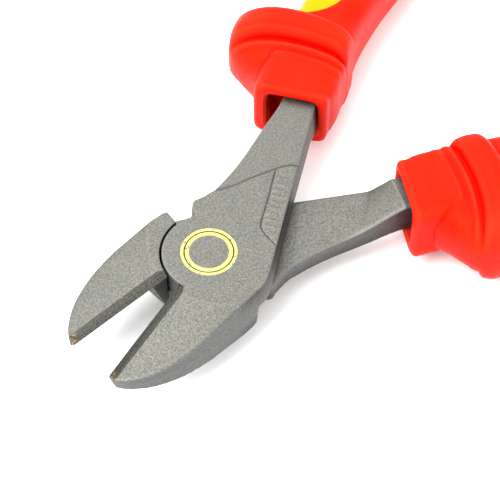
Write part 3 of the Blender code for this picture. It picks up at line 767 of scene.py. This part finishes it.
def printed_ring(graph, radius, height, facing):
    """Mask of the plain ring printed round the pivot on the upper face."""
    outer = graph.span(radius, 0.00570, 0.00582, 1.0, 0.0)
    inner = graph.span(radius, 0.0040, 0.00412, 0.0, 1.0)
    top = graph.math("GREATER_THAN", height, JOINT_Z + (JOINT_H - 0.12) * MM)
    up = graph.math("GREATER_THAN", facing, 0.8)
    worn = graph.span(graph.noise(1500.0, 3.0), 0.30, 0.42)
    mask = graph.math("MULTIPLY", outer, inner)
    mask = graph.math("MULTIPLY", mask, graph.math("MULTIPLY", top, up))
    return graph.math("MULTIPLY", mask, worn)


def steel(name, pin):
    """Bead-blasted steel: fine speckle, painted shade on the drafted sides and in hollows, painted
    highlights on edges, grime and painted shade in the lines.
    """
    graph = Graph(name)
    radius, height, facing, forward = axis_parts(graph)
    speck = graph.span(graph.noise(2600.0, 3.0, 0.7), 0.32, 0.68)
    blotch = graph.span(graph.noise(260.0, 3.0, 0.6), 0.3, 0.7)
    colour = graph.mix(speck, (0.060, 0.060, 0.0555), (0.122, 0.122, 0.113))
    tint = graph.mix(blotch, (0.93, 0.94, 0.90), (1.05, 1.03, 0.97))
    tinted = graph.node("ShaderNodeMix", data_type="RGBA", blend_type="MULTIPLY")
    graph.wire(1.0, tinted.inputs[0])
    graph.wire(colour, tinted.inputs[6])
    graph.wire(tint, tinted.inputs[7])
    colour = tinted.outputs[2]
    # painted shade: side walls get darker colours than upward faces; the shank's sides are browner, a
    # painted reflection of the red grips
    flat = graph.span(graph.math("ABSOLUTE", facing), 0.25, 0.75)
    jaw_side_shade = graph.mix(speck, (0.066, 0.065, 0.063), (0.104, 0.103, 0.099))
    shank_side_shade_reflection = graph.mix(speck, (0.052, 0.044, 0.041), (0.080, 0.070, 0.066))
    side = graph.mix(graph.span(forward, -0.012, -0.04), jaw_side_shade, shank_side_shade_reflection)
    # painted shade: the walls get darker towards their top and bottom edges, except out on the jaws
    shade = graph.span(graph.math("ABSOLUTE", graph.math("SUBTRACT", height, JOINT_Z)), 0.0015, 0.0052)
    shade = graph.math("MULTIPLY", shade, graph.span(forward, 0.006, 0.002))
    side = graph.mix(graph.math("MULTIPLY", shade, 0.7), side, (0.018, 0.017, 0.0155))
    colour = graph.mix(flat, side, colour)
    if not pin:
        # painted highlight: convex edges get a lighter colour
        edge = graph.span(graph.attribute("bend"), 0.004, 0.03, 0.0, 0.55)
        colour = graph.mix(edge, colour, (0.15, 0.15, 0.143))
        # painted highlight: a lighter line along the crease of the jaw's face
        crest_highlight = graph.math("MULTIPLY", graph.attribute("crest_highlight"), 0.35)
        colour = graph.mix(crest_highlight, colour, (0.15, 0.147, 0.137))
        # painted shade: hollows get a darker colour
        hollow_shade = graph.span(graph.attribute("bend"), -0.004, -0.03, 0.0, 0.6)
        colour = graph.mix(hollow_shade, colour, (0.034, 0.031, 0.027))
        # grime and painted shade: darker colour in the panel groove and at the step's foot
        colour = graph.mix(graph.math("MULTIPLY", graph.attribute("grime_and_shade"), 0.8), colour,
                           (0.030, 0.022, 0.018))
        tip = graph.span(forward, 0.0310, 0.0314)
        copper = graph.math("MULTIPLY", tip, graph.span(graph.noise(1800.0), 0.54, 0.58))
        colour = graph.mix(graph.math("MULTIPLY", copper, 0.6), colour, (0.18, 0.10, 0.045))
    seam = graph.math("MULTIPLY", graph.span(radius, 0.00484, 0.00495),
                      graph.span(radius, 0.00516, 0.0053, 1.0, 0.0))
    stain = graph.math("MULTIPLY", seam, graph.span(graph.noise(420.0), 0.38, 0.62, 0.25, 0.95))
    colour = graph.mix(stain, colour, (0.045, 0.024, 0.011))
    ring = printed_ring(graph, radius, height, facing)
    painted = graph.math("MULTIPLY", ring, graph.math("SUBTRACT", 1.0, graph.math("MULTIPLY", stain, 0.6)))
    colour = graph.mix(painted, colour, (0.37, 0.335, 0.078))
    graph.bump(graph.noise(3000.0, 3.0, 0.7), 0.00006, 0.5)
    return graph.finish(Base_Color=colour, Metallic=graph.span(painted, 0.0, 1.0, 0.85, 0.0),
                        Roughness=graph.span(speck, 0.0, 1.0, 0.62, 0.48))


def shaded_ground_steel():
    """The ground faces of the cutting edges, coloured darker than the blasted steel as painted shade."""
    graph = Graph("ground_edge_shaded_look")
    speck = graph.span(graph.noise(2600.0, 3.0, 0.7), 0.34, 0.66)
    # painted shade: the bevel is coloured dark for the shade it falls in
    colour = graph.mix(speck, (0.020, 0.0195, 0.0165), (0.056, 0.055, 0.047))
    forward = axis_parts(graph)[3]
    tip = graph.span(forward, 0.0303, 0.0309)
    copper = graph.math("MULTIPLY", tip, graph.span(graph.noise(1800.0), 0.53, 0.57))
    colour = graph.mix(graph.math("MULTIPLY", copper, 0.8), colour, (0.24, 0.12, 0.035))
    graph.bump(graph.noise(3000.0, 3.0, 0.7), 0.00006, 0.4)
    return graph.finish(Base_Color=colour, Metallic=0.85, Roughness=graph.span(speck, 0.0, 1.0, 0.6, 0.5))


def moulding(name, base, deep, pale, tint):
    """Soft moulded plastic: faint mottling, orange peel, painted shade in the hollows, paler ridges from
    painted highlight and wear.
    """
    graph = Graph(name)
    cloud = graph.span(graph.noise(120.0, 2.0), 0.3, 0.7)
    colour = graph.mix(graph.math("MULTIPLY", cloud, 0.25), base, deep)
    bend = graph.attribute("bend")
    # painted shade: hollows get the deep colour
    colour = graph.mix(graph.span(bend, -0.003, -0.03), colour, deep)
    # painted highlight and wear: ridges get the pale colour
    colour = graph.mix(graph.span(bend, 0.006, 0.04, 0.0, 0.5), colour, pale)
    scuff = graph.span(graph.noise(700.0, 4.0, 0.65), 0.70, 0.78, 0.0, 0.3)
    colour = graph.mix(scuff, colour, pale)
    grain = graph.noise(1400.0, 3.0)
    graph.bump(grain, 0.00003, 0.25)
    graph.finish(Base_Color=colour, Roughness=graph.span(grain, 0.3, 0.7, 0.38, 0.50))
    graph.shader.inputs["Specular IOR Level"].default_value = 0.07
    graph.shader.inputs["Specular Tint"].default_value = (*tint, 1.0)
    return graph.mat


def floor_material():
    """Plain pale paper."""
    graph = Graph("floor_paper")
    colour = graph.mix(graph.noise(90.0, 3.0), (0.90, 0.90, 0.90), (0.93, 0.93, 0.93))
    return graph.finish(Base_Color=colour, Roughness=0.9)


# ---------------------------------------------------------------- assembly
def put(piece, mat, body, node, turned_over):
    """Scale a piece to metres, set it at the joint's height and hand it to the frame."""
    move = Matrix.Translation((0.0, 0.0, JOINT_Z)) @ Matrix.Scale(MM, 4)
    if turned_over:
        move = move @ Matrix.Rotation(math.pi, 4, "X")
    piece.data.transform(move)
    if mat:
        piece.data.materials.clear()
        piece.data.materials.append(mat)
    ground = piece.data.materials.find(GROUND.name)
    for face in piece.data.polygons:
        face.use_smooth = face.material_index != ground
    piece.data.set_sharp_from_angle(angle=SHARP)
    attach(piece, body)
    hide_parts(node)


STEEL = steel("blasted_steel_look", False)
GROUND = shaded_ground_steel()
RIVET = steel("rivet_steel_look", True)
RED = moulding("red_moulding_look", (0.50, 0.0075, 0.0010), (0.36, 0.0006, 0.0004), (0.56, 0.028, 0.012),
               (1.0, 0.4, 0.2))
YELLOW = moulding("yellow_moulding_look", (0.52, 0.235, 0.0003), (0.48, 0.205, 0.0), (0.55, 0.31, 0.05),
                  (1.0, 0.9, 0.3))

for name, front, over in (("upper", 1, False), ("lower", -1, True)):
    put(forging("forging_" + name, front), None, name, name + "_half", over)
    put(sleeve("sleeve_pad_" + name), YELLOW, name, "sleeve_" + name, over)
    put(grip("handle_grip_" + name), RED, name, "grip_" + name, over)
put(rivet(), RIVET, "lower", "pivot_rivet", False)

# ---------------------------------------------------------------- stage, light and camera
FLOOR_SIZE = 3.0
FLOOR_GAP = 0.0002


def make_floor():
    """Flat sheet just under the tool."""
    bm = bmesh.new()
    bmesh.ops.create_grid(bm, x_segments=4, y_segments=4, size=FLOOR_SIZE * 0.5)
    bmesh.ops.translate(bm, verts=bm.verts, vec=(0.0, 0.0, CAD_BOX[0].z - FLOOR_GAP))
    mesh = bpy.data.meshes.new("floor")
    bm.to_mesh(mesh)
    bm.free()
    floor = add_object("floor", mesh)
    mesh.materials.append(floor_material())


# camera: azimuth and elevation of the view, its distance and what it looks at
VIEW_AZ, VIEW_EL = math.radians(136.5), math.radians(54.95)
VIEW_DISTANCE, VIEW_LENS, VIEW_ROLL = 0.4016, 143.65, math.radians(-0.3)
AIM = (8.27, 0.36)              # aim point beside the rivet, right and away in the view
SENSOR, CLIP = 36.0, (0.01, 20.0)
# lights: name, metres right, away and above, size of the box, watts
LIGHTS = [("key", -0.45, -0.3, 0.9, 0.6, 14.0), ("top", -0.2, 0.5, 1.0, 0.8, 14.0)]
WORLD_STRENGTH = 1.8
RIGHT = Vector((math.cos(VIEW_AZ), math.sin(VIEW_AZ), 0.0))
AWAY = Vector((-math.sin(VIEW_AZ), math.cos(VIEW_AZ), 0.0))


def make_camera():
    """Camera on the view's line through the aim point."""
    data = bpy.data.cameras.new("view")
    data.lens = VIEW_LENS
    data.sensor_width = SENSOR
    data.clip_start, data.clip_end = CLIP
    camera = add_object("view", data)
    aim = (RIGHT * AIM[0] + AWAY * AIM[1]) * MM + Vector((0.0, 0.0, RIVET_HIGH.z))
    back = -AWAY * math.cos(VIEW_EL) + Vector((0.0, 0.0, math.sin(VIEW_EL)))
    turn = (-back).to_track_quat("-Z", "Y").to_matrix().to_4x4()
    camera.matrix_world = (Matrix.Translation(aim + back * VIEW_DISTANCE) @ turn
                           @ Matrix.Rotation(VIEW_ROLL, 4, "Z"))
    bpy.context.scene.camera = camera


def make_light(name, side, away, height, size, power):
    """A soft box aimed at the tool; side and away are measured in the view."""
    data = bpy.data.lights.new(name, "AREA")
    data.size = size
    data.energy = power
    light = add_object(name, data)
    spot = RIGHT * side + AWAY * away + Vector((0.0, 0.0, height))
    light.matrix_world = (Matrix.Translation(spot)
                          @ (-spot).to_track_quat("-Z", "Y").to_matrix().to_4x4())


def make_world(strength):
    """Even white surroundings."""
    world = bpy.data.worlds.new("studio")
    world.use_nodes = True
    world.node_tree.nodes["Background"].inputs["Color"].default_value = (1.0, 1.0, 1.0, 1.0)
    world.node_tree.nodes["Background"].inputs["Strength"].default_value = strength
    bpy.context.scene.world = world


make_floor()
make_camera()
make_world(WORLD_STRENGTH)
for light in LIGHTS:
    make_light(*light)
bpy.context.scene.view_settings.view_transform = "Standard"
